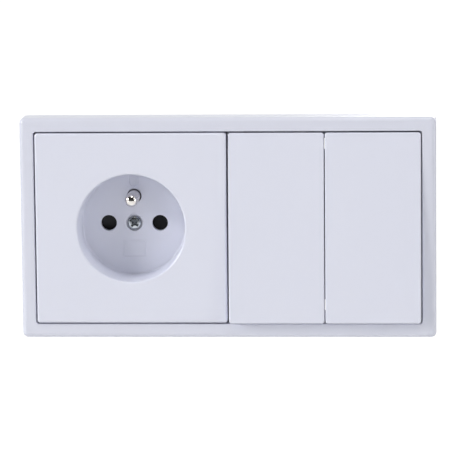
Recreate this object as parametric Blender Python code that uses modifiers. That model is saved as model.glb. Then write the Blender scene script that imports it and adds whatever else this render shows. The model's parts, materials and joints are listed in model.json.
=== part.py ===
"""Flush wiring set of one earthed socket and one double rocker switch in a shared cover frame.

Metres, +Z up. The wall surface is the plane Y = 0 and the set's front faces -Y. The origin lies on the
wall, midway between the two wall boxes. Each gang is modelled about its own box axis.
"""

import math

import bmesh
import bpy
from mathutils import Vector

MM = 0.001
CLEAR = 0.3 * MM  # between pieces that touch in the real set
MERGE = 0.00001
GUIDE_SIZE = 10.0 * MM

# The gangs and the cover frame
PITCH = 71.0 * MM  # between the axes of neighbouring wall boxes
FRAME_BORDER = 5.25 * MM
FRAME_FRONT = 10.5 * MM  # height of the frame over the wall
FRAME_WALL = 2.0 * MM
FRAME_LIP_WALL = 1.6 * MM
FRAME_CORNER = 2.0 * MM
FRAME_EDGE = 1.75 * MM  # rounding of the outer front edge
LEDGE_WIDTH = 2.5 * MM  # inner ledge that the covers press on
LEDGE_FRONT = 3.0 * MM
LEDGE_BACK = 1.5 * MM
FRAME_RIB = 1.2 * MM

# The steel support rings
RING_GAP = 0.2 * MM  # to the middle between two gangs
RING_THICK = 1.2 * MM
RING_CORNER = 3.0 * MM
SLOT_RADIUS = 30.0 * MM  # half of the 60 mm between box screws
SLOT_WIDTH = 4.0 * MM
SLOT_LENGTH = 9.0 * MM
CORNER_HOLE = 1.75 * MM  # radius of the spare screw holes
CORNER_HOLE_AT = 28.5 * MM

# The socket cover with its cup
COVER_GAP = 0.25 * MM  # to the frame's opening
COVER_PROUD = 0.7 * MM
COVER_PLATE = 2.5 * MM
COVER_WALL = 2.0 * MM
COVER_CORNER = 1.0 * MM
COVER_EDGE = 0.8 * MM
CUP_RIM_RADIUS = 19.85 * MM
CUP_DRAFT = 0.45 * MM  # the cup is this much narrower at its floor
CUP_DEPTH = 15.0 * MM
CUP_RIM_ROUND = 0.7 * MM
CUP_FLOOR_ROUND = 0.8 * MM
CUP_WALL = 1.6 * MM
CUP_FLOOR = 2.0 * MM
COVER_RIB = 1.2 * MM
COVER_RIB_RISE = 3.5 * MM  # behind the plate
PIN_SPACING = 19.0 * MM
LIVE_HOLE_RADIUS = 2.9 * MM
HOLE_CHAMFER = 0.15 * MM
PANEL_WIDTH = 8.7 * MM
PANEL_HEIGHT = 6.3 * MM
PANEL_BELOW = 9.5 * MM
PANEL_DEPTH = 0.25 * MM
PANEL_BORDER = 0.6 * MM
NOTCH_WIDTH = 3.7 * MM
NOTCH_BOTTOM = 13.5 * MM
NOTCH_DEPTH = 0.5 * MM

# The earth pin and the cover screw
EARTH_OFFSET = 10.0 * MM
EARTH_RADIUS = 2.4 * MM
EARTH_REACH = 14.0 * MM  # from the cup floor to the tip
EARTH_HOLE_CLEAR = 0.25 * MM
EARTH_TIP = 2.2 * MM
EARTH_FLANGE_RADIUS = 3.4 * MM
EARTH_FLANGE = 1.0 * MM
EARTH_TAIL_RADIUS = 1.7 * MM
EARTH_HEAD_RADIUS = 2.6 * MM
EARTH_HEAD = 0.8 * MM
SCREW_HEAD_RADIUS = 2.5 * MM
SCREW_HEAD = 1.1 * MM
SCREW_SHANK_RADIUS = 1.4 * MM
SCREW_LENGTH = 16.0 * MM
SCREW_SEAT = 0.8 * MM  # floor left under the head
SCREW_HOLE_CLEAR = 0.5 * MM
RECESS_WIDTH = 0.9 * MM
RECESS_DEPTH = 0.85 * MM
CROSS_TURN = 40.0  # the cover screw's cross stands askew

# The shutter behind the cup floor
SHUTTER_THICK = 1.3 * MM
SHUTTER_REACH = 13.2 * MM
SHUTTER_HALF = 3.2 * MM
SHUTTER_HUB = 6.2 * MM
SHUTTER_RAMP = 0.9 * MM
POST_RADIUS = 4.0 * MM
POST_CLEAR = 0.25 * MM
SPRING_WIRE = 0.25 * MM  # radius
SPRING_RADIUS = 4.8 * MM
SPRING_TURNS = 1.5
SPRING_ROOM = 1.5 * MM
SPRING_LEG = 4.0 * MM

# The socket base and its contacts
BOWL_WALL = 1.6 * MM
BOWL_FRONT = 2.6 * MM
BASE_BACK = 28.4 * MM
BASE_FLANGE = 27.0 * MM
FLANGE_THICK = 2.0 * MM
HOOK_REACH = 1.8 * MM
HOOK_THICK = 1.1 * MM
HOOK_HALF = 2.2 * MM
CONTACT_COVER = 1.4 * MM
BASE_FLAT = 15.0 * MM
FLAT_STEP = 2.0 * MM  # behind the floor of the bowl
SLEEVE_RADIUS = 3.3 * MM
SLEEVE_BORE = 2.5 * MM
SLEEVE_LENGTH = 12.8 * MM
SLEEVE_SLIT = 0.8 * MM
SLIT_LENGTH = 9.0 * MM
STRIP_THICK = 1.2 * MM
STRIP_WIDTH = 5.0 * MM
TERMINAL_SIDE = 7.0 * MM
TERMINAL_HEIGHT = 7.3 * MM
TERMINAL_OFFSET = 17.2 * MM
WIRE_RADIUS = 1.5 * MM
TERMINAL_HEAD_RADIUS = 2.2 * MM
TERMINAL_HEAD = 1.6 * MM
TERMINAL_SHANK_RADIUS = 1.3 * MM
TERMINAL_SHANK = 3.2 * MM
TERMINAL_BACK_WALL = 3.0 * MM

# The rockers
ROCKER_GAP = 0.5 * MM
ROCKER_END_GAP = 0.65 * MM
ROCKER_PROUD = 2.0 * MM  # of the face's middle over the frame
ROCKER_PLATE = 2.0 * MM
ROCKER_WALL = 1.6 * MM
ROCKER_DEPTH = 7.0 * MM
ROCKER_EDGE = 0.9 * MM
ROCKER_CORNER = 0.9 * MM
ROCKER_TILT = 3.3  # degrees either side of the middle
PIVOT_DEPTH = 6.0 * MM
ROCKER_RIB = 1.2 * MM
ROCKER_RIB_RISE = 2.0 * MM
ROCKER_RIB_BEYOND = 8.0 * MM  # past the end of the cradle
ROCKER_LEG = 2.2 * MM

# The switch insert
SWITCH_HALF = 21.0 * MM
SWITCH_BEVEL = 3.0 * MM
SWITCH_FRONT = 3.0 * MM
SWITCH_BACK = 20.0 * MM
SWITCH_WALL = 1.6 * MM
SWITCH_FLOOR = 12.0 * MM
CAVITY_HALF = 12.0 * MM
WEB_HALF = 1.0 * MM
EAR_HALF = 3.4 * MM
EAR_RISE = 2.3 * MM
EAR_ROOM = 0.9 * MM  # round the middle ear in the rockers' skirts
CRADLE_HALF = 13.0 * MM
CRADLE_PLATE = 1.8 * MM
CRADLE_CHEEK = 1.4 * MM
CRADLE_CHEEK_HALF = 2.6 * MM
CRADLE_PIN_RADIUS = 1.5 * MM
BEARING_CLEAR = 0.2 * MM
STEM_RADIUS = 2.8 * MM
STEM_BORE = 1.9 * MM
STEM_END = 2.5 * MM
PLUNGER_RADIUS = 1.6 * MM
PLUNGER_BACK = 1.0 * MM
COIL_WIRE = 0.2 * MM
COIL_RADIUS = 1.25 * MM
COIL_TURNS = 5
LEVER_DEPTH = 8.4 * MM  # back of the lever, where it rocks
LEVER_THICK = 0.8 * MM
LEVER_HALF = 10.0 * MM
LEVER_WIDTH = 5.0 * MM
LEVER_TILT = 4.0
FULCRUM_HALF = 0.5 * MM
CONTACT_REACH = 8.8 * MM
CONTACT_RADIUS = 1.5 * MM
SWITCH_STRIP = 1.0 * MM
SWITCH_TERMINAL_INSET = 4.5 * MM

# Sizes that follow from those above
RING_SIZE = PITCH - 2 * RING_GAP
COVER_SIZE = PITCH - 2 * COVER_GAP
CUP_FLOOR_RADIUS = CUP_RIM_RADIUS - CUP_DRAFT
ROCKER_LENGTH = PITCH - 2 * ROCKER_END_GAP
SWITCH_TERMINAL = SWITCH_HALF - SWITCH_TERMINAL_INSET

# Depths that follow, positive into the wall
COVER_FACE = FRAME_FRONT + COVER_PROUD
CUP_FLOOR_DEPTH = CUP_DEPTH - COVER_FACE
CUP_BACK = CUP_FLOOR_DEPTH + CUP_FLOOR
POST_FRONT = CUP_BACK + CLEAR
SHUTTER_FRONT = CUP_BACK + CLEAR
CONTACT_COVER_FRONT = SHUTTER_FRONT + SHUTTER_THICK + SPRING_ROOM + CLEAR
CONTACT_COVER_BACK = CONTACT_COVER_FRONT + CONTACT_COVER
BASE_FLOOR = CONTACT_COVER_BACK + CLEAR
SLEEVE_FRONT = BASE_FLOOR + CLEAR
EARTH_STRAP_FRONT = CONTACT_COVER_BACK + 2 * CLEAR + EARTH_FLANGE
TERMINAL_BACK = BASE_BACK - TERMINAL_BACK_WALL - CLEAR
WIRE_DEPTH = TERMINAL_BACK - TERMINAL_SHANK - WIRE_RADIUS
BOWL_BORE = CUP_RIM_RADIUS + CUP_WALL + CLEAR
SCREW_HEAD_SEAT = CUP_BACK - SCREW_SEAT - CLEAR
SCREW_TIP = SCREW_HEAD_SEAT + SCREW_LENGTH
ROCKER_FACE = FRAME_FRONT + ROCKER_PROUD
RIVET_RISE = 0.9 * MM
FIXED_STRIP_FRONT = LEVER_DEPTH + LEVER_HALF * math.sin(math.radians(LEVER_TILT)) + CLEAR + RIVET_RISE
SWITCH_TERMINAL_HALF = 3.2 * MM
SWITCH_TERMINAL_FRONT = FIXED_STRIP_FRONT + 0.1 * MM
SWITCH_TERMINAL_BACK = SWITCH_BACK - TERMINAL_BACK_WALL
CRADLE_INNER = ROCKER_GAP / 2 + ROCKER_WALL + CLEAR
CRADLE_OUTER = SWITCH_HALF - SWITCH_WALL - CLEAR
CRADLE_X = {-1: (-CRADLE_OUTER, -CRADLE_INNER), 1: (CRADLE_INNER, CRADLE_OUTER)}
PIN_INTO_WEB = CRADLE_INNER - WEB_HALF * 0.3
PIN_INTO_WALL = CLEAR + SWITCH_WALL * 0.8
CRADLE_PIN = {-1: (PIN_INTO_WALL, PIN_INTO_WEB), 1: (PIN_INTO_WEB, PIN_INTO_WALL)}

# Steps round a turned shape
FINE = 48
ROUND = 22
SMALL = 12


def finish(name, colour, roughness, metallic):
    """A plain finish for one kind of material."""
    material = bpy.data.materials.new(name)
    material.use_nodes = True
    shader = material.node_tree.nodes["Principled BSDF"]
    shader.inputs["Base Color"].default_value = (*colour, 1.0)
    shader.inputs["Roughness"].default_value = roughness
    shader.inputs["Metallic"].default_value = metallic
    material.diffuse_color = (*colour, 1.0)
    return material


def clear_scene():
    for thing in list(bpy.data.objects):
        bpy.data.objects.remove(thing)


def new_collection(name):
    collection = bpy.data.collections.new(name)
    bpy.context.scene.collection.children.link(collection)
    return collection


def empty(name, at, parent=None, tilt=0.0):
    """A guide that carries the pieces of one gang or one moving assembly."""
    guide = bpy.data.objects.new(name, None)
    guide.location = at
    guide.rotation_euler = (math.radians(tilt), 0.0, 0.0)
    guide.empty_display_size = GUIDE_SIZE
    guide.parent = parent
    PARTS.objects.link(guide)
    return guide


class Home:
    """Where shapes are drawn: a guide, and the point of the gang's own axes that lies on it."""

    def __init__(self, guide, origin=(0.0, 0.0, 0.0)):
        self.guide = guide
        self.origin = Vector(origin)


def put(name, mesh, home, material, at=(0.0, 0.0, 0.0), turn=(0.0, 0.0, 0.0)):
    """A shape as an object: a piece when it has a material, and otherwise a tool for a Boolean."""
    thing = bpy.data.objects.new(name, mesh)
    thing.parent = home.guide
    thing.location = Vector(at) - home.origin
    thing.rotation_euler = turn
    if material is None:
        thing.hide_render = True
        thing.display_type = "WIRE"
        TOOLS.objects.link(thing)
    else:
        mesh.materials.append(material)
        PARTS.objects.link(thing)
    return thing


def block(name, home, x, y, z, material=None, corner=0.0, front=0.0, back=0.0, steps=3):
    """A block between limits, with rounded corners along Y and rounded front and back edges."""
    shape = bmesh.new()
    bmesh.ops.create_cube(shape, size=1.0)
    size = Vector((x[1] - x[0], y[1] - y[0], z[1] - z[0]))
    middle = Vector((x[1] + x[0], y[1] + y[0], z[1] + z[0])) / 2
    bmesh.ops.scale(shape, vec=size, verts=shape.verts)
    bmesh.ops.translate(shape, vec=middle, verts=shape.verts)

    def soften(edges, width):
        bmesh.ops.bevel(
            shape, geom=edges, offset=width, segments=steps, profile=0.5, affect="EDGES", material=-1
        )

    if corner:
        soften([e for e in shape.edges if abs(e.verts[0].co.y - e.verts[1].co.y) > size.y / 2], corner)
    for depth, width in ((y[0], front), (y[1], back)):
        if width:
            soften([e for e in shape.edges if all(abs(v.co.y - depth) < MERGE for v in e.verts)], width)
    mesh = bpy.data.meshes.new(name)
    shape.to_mesh(mesh)
    shape.free()
    return put(name, mesh, home, material)


def square(half):
    return (-half, half)


def rod(name, home, radius, span, at, material=None, axis="Y", steps=ROUND):
    """A round bar along Y at (x, z), or along X at (y, z)."""
    shape = bmesh.new()
    length = span[1] - span[0]
    bmesh.ops.create_cone(
        shape, cap_ends=True, segments=steps, radius1=radius, radius2=radius, depth=length
    )
    mesh = bpy.data.meshes.new(name)
    shape.to_mesh(mesh)
    shape.free()
    middle = (span[0] + span[1]) / 2
    if axis == "Y":
        return put(name, mesh, home, material, (at[0], middle, at[1]), (math.pi / 2, 0.0, 0.0))
    if axis == "X":
        return put(name, mesh, home, material, (middle, at[0], at[1]), (0.0, math.pi / 2, 0.0))
    return put(name, mesh, home, material, (at[0], at[1], middle))


def arc(centre, radius, start, end, steps):
    """Points of an arc in a turned profile, as (radius, depth), angles in degrees."""
    points = []
    for i in range(steps + 1):
        angle = math.radians(start + (end - start) * i / steps)
        points.append((centre[0] + radius * math.cos(angle), centre[1] + radius * math.sin(angle)))
    return points


def turned(name, home, profile, at=(0.0, 0.0), material=None, steps=FINE, ring=False):
    """A shape turned about an axis along Y, from (radius, depth) points that run front to back."""
    mesh = bpy.data.meshes.new(name)
    count = len(profile)
    edges = [(i, i + 1) for i in range(count - 1)]
    if ring:
        edges.append((count - 1, 0))
    mesh.from_pydata([(radius, 0.0, -depth) for radius, depth in profile], edges, [])
    thing = put(name, mesh, home, material, (at[0], 0.0, at[1]), (math.pi / 2, 0.0, 0.0))
    screw = thing.modifiers.new("Turn", "SCREW")
    screw.steps = screw.render_steps = steps
    screw.use_merge_vertices = True
    screw.merge_threshold = MERGE
    return thing


def boolean(target, tool, operation):
    modifier = target.modifiers.new(tool.name, "BOOLEAN")
    modifier.operation = operation
    modifier.object = tool
    return target


def cut(target, *tools):
    for tool in tools:
        boolean(target, tool, "DIFFERENCE")
    return target


def fuse(target, *tools):
    for tool in tools:
        boolean(target, tool, "UNION")
    return target


def coil(name, home, radius, wire, turns, span, at, material, legs=0.0):
    """A wire coil about an axis along Y, from one depth to the other, with straight legs if wanted."""
    per_turn = 10
    count = int(per_turn * turns)
    points = []
    for i in range(count + 1):
        angle = 2 * math.pi * turns * i / count
        depth = span[0] + (span[1] - span[0]) * i / count
        points.append((at[0] + radius * math.cos(angle), depth, at[1] + radius * math.sin(angle)))
    if legs:
        first, last = Vector(points[0]), Vector(points[-1])
        points.insert(0, first + Vector((0.0, 0.0, -legs)))
        end = 2 * math.pi * turns
        points.append(last + legs * Vector((-math.sin(end), 0.0, math.cos(end))))
    curve = bpy.data.curves.new(name, "CURVE")
    curve.dimensions = "3D"
    curve.bevel_depth = wire
    curve.bevel_resolution = 1
    curve.use_fill_caps = True
    spline = curve.splines.new("POLY")
    spline.points.add(len(points) - 1)
    for point, place in zip(spline.points, points):
        point.co = (*place, 1.0)
    return put(name, curve, home, material)


def screw_with_slot(name, home, head_radius, head, shank_radius, shank, seat, at, facing, cross):
    """A screw along Y whose head stands on depth seat and faces the front (-1) or the back (1)."""
    round_over = head * 0.3
    top = seat + facing * head
    points = [
        (0.0, top),
        (head_radius - round_over, top),
        (head_radius, top - facing * round_over),
        (head_radius, seat),
        (shank_radius, seat),
        (shank_radius, seat - facing * (shank - shank_radius / 2)),
        (shank_radius / 2, seat - facing * shank),
        (0.0, seat - facing * shank),
    ]
    if facing > 0:
        points.reverse()
    screw = turned(name, home, points, at, STEEL, SMALL)
    half = RECESS_WIDTH / 2
    depth = tuple(sorted((top + facing * MM, top - facing * RECESS_DEPTH)))
    reach = head_radius * (0.72 if cross else 1.2)
    for i, angle in enumerate((CROSS_TURN, CROSS_TURN + 90.0) if cross else (0.0,)):
        slot = block(f"{name}_slot_{i}", home, square(reach), depth, square(half))
        slot.location += Vector((at[0], 0.0, at[1]))
        slot.rotation_euler = (0.0, math.radians(angle), 0.0)
        cut(screw, slot)
    return screw


def outline(gangs, half, extra=0.0):
    """Limits in X and Z of a rectangle over one or two gangs, grown by extra."""
    return square(half + (gangs - 1) * PITCH / 2 + extra), square(half + extra)


def make_cover_frame(home):
    opening = PITCH / 2
    outer = opening + FRAME_BORDER
    x, z = outline(2, outer)
    frame = block(
        "cover_frame", home, x, (-FRAME_FRONT, 0.0), z, WHITE, FRAME_CORNER, FRAME_EDGE, steps=5
    )
    inside_x, inside_z = outline(2, outer, -FRAME_WALL)
    roof = -FRAME_FRONT + FRAME_WALL
    channel = block("frame_channel", home, inside_x, (roof, -LEDGE_BACK / 2), inside_z, corner=MM)
    lip_x, lip_z = outline(2, opening, FRAME_LIP_WALL)
    cut(channel, block("frame_lip", home, lip_x, (-FRAME_FRONT, MM), lip_z, corner=MM))
    for column in range(-2, 3):
        place = column * PITCH / 2
        rib = block(f"frame_rib_{column + 2}", home, (place - FRAME_RIB / 2, place + FRAME_RIB / 2),
                    (-FRAME_FRONT, -2 * LEDGE_FRONT / 2), outline(2, outer)[1])
        cut(channel, rib)
    cut(frame, channel)
    cut(frame, block("frame_back", home, inside_x, (-LEDGE_BACK, MM), inside_z, corner=MM))
    open_x, open_z = outline(2, opening)
    cut(frame, block("frame_opening", home, open_x, (-FRAME_FRONT - MM, -LEDGE_FRONT), open_z, corner=MM))
    for side in (-1, 1):
        middle = side * PITCH / 2
        half = opening - LEDGE_WIDTH
        tool = block(f"frame_ledge_{side}", home, (middle - half, middle + half),
                     (-LEDGE_FRONT - MM, MM), square(half), corner=3 * MM)
        cut(frame, tool)
    return frame


def make_ring(name, home, opening_tool):
    """A support ring: a punched steel plate on the wall, with slots for the box screws."""
    half = RING_SIZE / 2
    ring = block(name, home, square(half), (-RING_THICK, 0.0), square(half), STEEL, RING_CORNER)
    cut(ring, opening_tool)
    through = (-RING_THICK - MM, MM)
    long, wide = square(SLOT_LENGTH / 2), SLOT_WIDTH / 2
    for side in (-1, 1):
        near = (side * SLOT_RADIUS - wide, side * SLOT_RADIUS + wide)
        cut(
            ring,
            block(f"{name}_slot_x{side}", home, near, through, long, corner=wide * 0.98),
            block(f"{name}_slot_z{side}", home, long, through, near, corner=wide * 0.98),
        )
        for spot in ((side * CORNER_HOLE_AT, CORNER_HOLE_AT), (side * CORNER_HOLE_AT, -CORNER_HOLE_AT)):
            cut(ring, rod(f"{name}_corner_hole", home, CORNER_HOLE, through, spot, steps=SMALL))
    return ring


def hole(name, home, radius, chamfer, span, at, steps=ROUND):
    """A tool for a round hole that runs into the part from depth span[0], with a chamfered mouth."""
    front, back = span
    points = [(0.0, front - MM), (radius + chamfer, front - MM), (radius + chamfer, front)]
    points += [(radius, front + chamfer), (radius, back), (0.0, back)]
    if not chamfer:
        points = [(0.0, front - MM), (radius, front - MM), (radius, back), (0.0, back)]
    return turned(name, home, points, at, steps=steps)


def make_socket_cover(home):
    face = -COVER_FACE
    half = COVER_SIZE / 2
    cover = block("socket_cover", home, square(half), (face, -LEDGE_FRONT - CLEAR), square(half), WHITE,
                  COVER_CORNER, COVER_EDGE, steps=4)
    inner = square(half - COVER_WALL)
    cut(cover, block("cover_hollow", home, inner, (face + COVER_PLATE, MM), inner, corner=MM))
    shell = [
        (0.0, face + COVER_EDGE),
        (CUP_RIM_RADIUS + CUP_WALL, face + COVER_EDGE),
        (CUP_FLOOR_RADIUS + CUP_WALL, CUP_BACK - CUP_WALL),
        (CUP_FLOOR_RADIUS, CUP_BACK),
        (0.0, CUP_BACK),
    ]
    fuse(cover, turned("cup_shell", home, shell))
    rib_depth = (face + COVER_PLATE - MM, face + COVER_PLATE + COVER_RIB_RISE)
    rib_start = CUP_RIM_RADIUS + CUP_WALL / 2
    for side in (-1, 1):
        span = tuple(sorted((side * rib_start, side * (half - COVER_WALL / 2))))
        fuse(
            cover,
            block(f"cover_rib_x{side}", home, span, rib_depth, square(COVER_RIB / 2)),
            block(f"cover_rib_z{side}", home, square(COVER_RIB / 2), rib_depth, span),
        )
    rim_round, floor_round = CUP_RIM_ROUND, CUP_FLOOR_ROUND
    void = [(0.0, face - MM), (CUP_RIM_RADIUS + rim_round, face - MM)]
    void += arc((CUP_RIM_RADIUS + rim_round, face + rim_round), rim_round, -90, -180, 5)
    void += arc((CUP_FLOOR_RADIUS - floor_round, CUP_FLOOR_DEPTH - floor_round), floor_round, 0, 90, 4)
    void.append((0.0, CUP_FLOOR_DEPTH))
    cut(cover, turned("cup_void", home, void))
    floor = (CUP_FLOOR_DEPTH, CUP_BACK + MM)
    for side in (-1, 1):
        spot = (side * PIN_SPACING / 2, 0.0)
        cut(cover, hole(f"live_hole_{side}", home, LIVE_HOLE_RADIUS, HOLE_CHAMFER, floor, spot))
    earth_hole = EARTH_RADIUS + EARTH_HOLE_CLEAR
    cut(cover, hole("earth_hole", home, earth_hole, HOLE_CHAMFER, floor, (0.0, EARTH_OFFSET)))
    seat = (CUP_FLOOR_DEPTH, CUP_BACK - SCREW_SEAT)
    head_hole = SCREW_HEAD_RADIUS + SCREW_HOLE_CLEAR
    cut(cover, hole("cover_screw_head_hole", home, head_hole, 0.2 * MM, seat, (0.0, 0.0)))
    cut(cover, hole("cover_screw_hole", home, SCREW_SHANK_RADIUS + 0.4 * MM, 0.0, floor, (0.0, 0.0), SMALL))
    panel_x = square(PANEL_WIDTH / 2)
    panel_z = (-PANEL_BELOW - PANEL_HEIGHT / 2, -PANEL_BELOW + PANEL_HEIGHT / 2)
    sunk = (CUP_FLOOR_DEPTH - MM, CUP_FLOOR_DEPTH + PANEL_DEPTH)
    groove = block("panel_groove", home, panel_x, sunk, panel_z, corner=0.5 * MM)
    island_x = square(PANEL_WIDTH / 2 - PANEL_BORDER)
    island_z = (panel_z[0] + PANEL_BORDER, panel_z[1] - PANEL_BORDER)
    cut(groove, block("panel_island", home, island_x, (sunk[0] - MM, sunk[1] + MM), island_z,
                      corner=0.3 * MM))
    cut(cover, groove)
    notch_depth = (CUP_FLOOR_DEPTH - MM, CUP_FLOOR_DEPTH + NOTCH_DEPTH)
    notch_half = NOTCH_WIDTH / 2
    notch_middle = NOTCH_BOTTOM + notch_half
    notch_z = (notch_middle, CUP_FLOOR_RADIUS - 1.5 * CUP_FLOOR_ROUND)
    notch = block("floor_notch", home, square(notch_half), notch_depth, notch_z)
    fuse(notch, rod("floor_notch_end", home, notch_half, notch_depth, (0.0, notch_middle)))
    return cut(cover, notch)


def make_shutter(home):
    """Black shutter that closes both live holes and turns aside about the centre post."""
    y = (SHUTTER_FRONT, SHUTTER_FRONT + SHUTTER_THICK)
    shutter = block("socket_shutter", home, square(SHUTTER_REACH), y, square(SHUTTER_HALF), BLACK,
                    corner=SHUTTER_HALF * 0.98)
    fuse(shutter, rod("shutter_hub", home, SHUTTER_HUB, y, (0.0, 0.0)))
    slope = math.atan2(SHUTTER_RAMP, 2 * SHUTTER_HALF)
    for side in (-1, 1):
        x = tuple(sorted((side * (SHUTTER_HUB + CLEAR), side * (SHUTTER_REACH + MM))))
        ramp = block(f"shutter_ramp_{side}", home, x, (-4 * MM, 0.0), square(3 * SHUTTER_HALF))
        ramp.location = (0.0, y[0], -side * SHUTTER_HALF)
        ramp.rotation_euler = (-side * slope, 0.0, 0.0)
        cut(shutter, ramp)
    bore = POST_RADIUS + POST_CLEAR
    return cut(shutter, rod("shutter_bore", home, bore, (y[0] - MM, y[1] + MM), (0.0, 0.0)))


def make_earth_pin(home):
    tip = CUP_FLOOR_DEPTH - EARTH_REACH
    points = [(0.0, tip)]
    for angle in range(15, 91, 15):
        turn = math.radians(angle)
        points.append((EARTH_RADIUS * math.sin(turn), tip + EARTH_TIP * (1 - math.cos(turn))))
    flange = CONTACT_COVER_BACK + CLEAR
    tail = flange + EARTH_FLANGE
    head = tail + 2 * CLEAR + STRIP_THICK
    points += [
        (EARTH_RADIUS, flange),
        (EARTH_FLANGE_RADIUS, flange),
        (EARTH_FLANGE_RADIUS, tail),
        (EARTH_TAIL_RADIUS, tail),
        (EARTH_TAIL_RADIUS, head),
        (EARTH_HEAD_RADIUS, head),
        (EARTH_HEAD_RADIUS, head + EARTH_HEAD),
        (0.0, head + EARTH_HEAD),
    ]
    return turned("earth_pin", home, points, (0.0, EARTH_OFFSET), NICKEL, ROUND)


def make_terminal(name, home, middle, front):
    """Clamp block of a terminal: its tools for the screw's hole and the wire's hole are returned."""
    half = TERMINAL_SIDE / 2
    x, z = middle
    body = block(name + "_block", home, (x - half, x + half), (front, TERMINAL_BACK), (z - half, z + half),
                 corner=0.4 * MM)
    bore = hole(name + "_bore", home, TERMINAL_SHANK_RADIUS + CLEAR, 0.0,
                (TERMINAL_BACK - TERMINAL_SHANK - CLEAR, TERMINAL_BACK + MM), middle, SMALL)
    return body, bore


def make_earth_strap(home):
    strap_front = EARTH_STRAP_FRONT
    half = STRIP_WIDTH / 2 + 0.5 * MM
    z = (EARTH_OFFSET - half, TERMINAL_OFFSET)
    strap = block("earth_strap", home, square(half), (strap_front, strap_front + STRIP_THICK), z, BRASS)
    body, bore = make_terminal("earth_terminal", home, (0.0, TERMINAL_OFFSET), strap_front + 0.2 * MM)
    fuse(strap, body)
    tail_hole = hole("earth_strap_hole", home, EARTH_TAIL_RADIUS + CLEAR, 0.0,
                     (strap_front, strap_front + STRIP_THICK + MM), (0.0, EARTH_OFFSET), SMALL)
    wire = rod("earth_wire_hole", home, WIRE_RADIUS, square(TERMINAL_SIDE),
               (WIRE_DEPTH, TERMINAL_OFFSET), axis="X", steps=SMALL)
    return cut(strap, tail_hole, bore, wire)


def make_live_contact(name, home, side):
    """Slit contact sleeve behind a live hole, with its strip and its terminal, in one piece."""
    front = SLEEVE_FRONT
    back = front + SLEEVE_LENGTH
    x = side * PIN_SPACING / 2
    points = [(SLEEVE_BORE + 0.4 * MM, front), (SLEEVE_RADIUS, front), (SLEEVE_RADIUS, back),
              (SLEEVE_BORE, back), (SLEEVE_BORE, front + 0.6 * MM)]
    contact = turned(name, home, points, (x, 0.0), BRASS, ROUND, ring=True)
    strip_back = TERMINAL_BACK
    strip_x = tuple(sorted((side * (PIN_SPACING / 2 - SLEEVE_RADIUS + 0.4 * MM), side * TERMINAL_OFFSET)))
    strip = block(name + "_strip", home, strip_x, (strip_back - STRIP_THICK, strip_back),
                  square(STRIP_WIDTH / 2))
    front_of_block = TERMINAL_BACK - TERMINAL_HEIGHT
    body, bore = make_terminal(name + "_terminal", home, (side * TERMINAL_OFFSET, 0.0), front_of_block)
    fuse(contact, strip, body)
    slit = block(name + "_slit", home, (x - SLEEVE_SLIT / 2, x + SLEEVE_SLIT / 2),
                 (front - MM, front + SLIT_LENGTH), square(2 * SLEEVE_RADIUS))
    wire = rod(name + "_wire_hole", home, WIRE_RADIUS, square(TERMINAL_SIDE),
               (side * TERMINAL_OFFSET, WIRE_DEPTH), axis="Z", steps=SMALL)
    return cut(contact, slit, bore, wire)


def terminal_screw(name, home, middle, seat=None):
    back = TERMINAL_BACK if seat is None else seat
    return screw_with_slot(name, home, TERMINAL_HEAD_RADIUS, TERMINAL_HEAD, TERMINAL_SHANK_RADIUS,
                           TERMINAL_SHANK, back + CLEAR, middle, 1, False)


def make_contact_cover(home):
    """Moulded disc that closes the contact chambers behind the shutter."""
    disc = rod("contact_cover", home, BOWL_BORE - CLEAR, (CONTACT_COVER_FRONT, CONTACT_COVER_BACK),
               (0.0, 0.0), GREY, steps=FINE)
    span = (CONTACT_COVER_FRONT, CONTACT_COVER_BACK + MM)
    cut(disc, hole("contact_cover_post", home, POST_RADIUS + CLEAR, 0.0, span, (0.0, 0.0)))
    cut(disc, hole("contact_cover_earth", home, EARTH_RADIUS + CLEAR, 0.0, span, (0.0, EARTH_OFFSET)))
    for side in (-1, 1):
        spot = (side * PIN_SPACING / 2, 0.0)
        cut(disc, hole(f"contact_cover_live_{side}", home, LIVE_HOLE_RADIUS, HOLE_CHAMFER, span, spot))
    return disc


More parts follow.
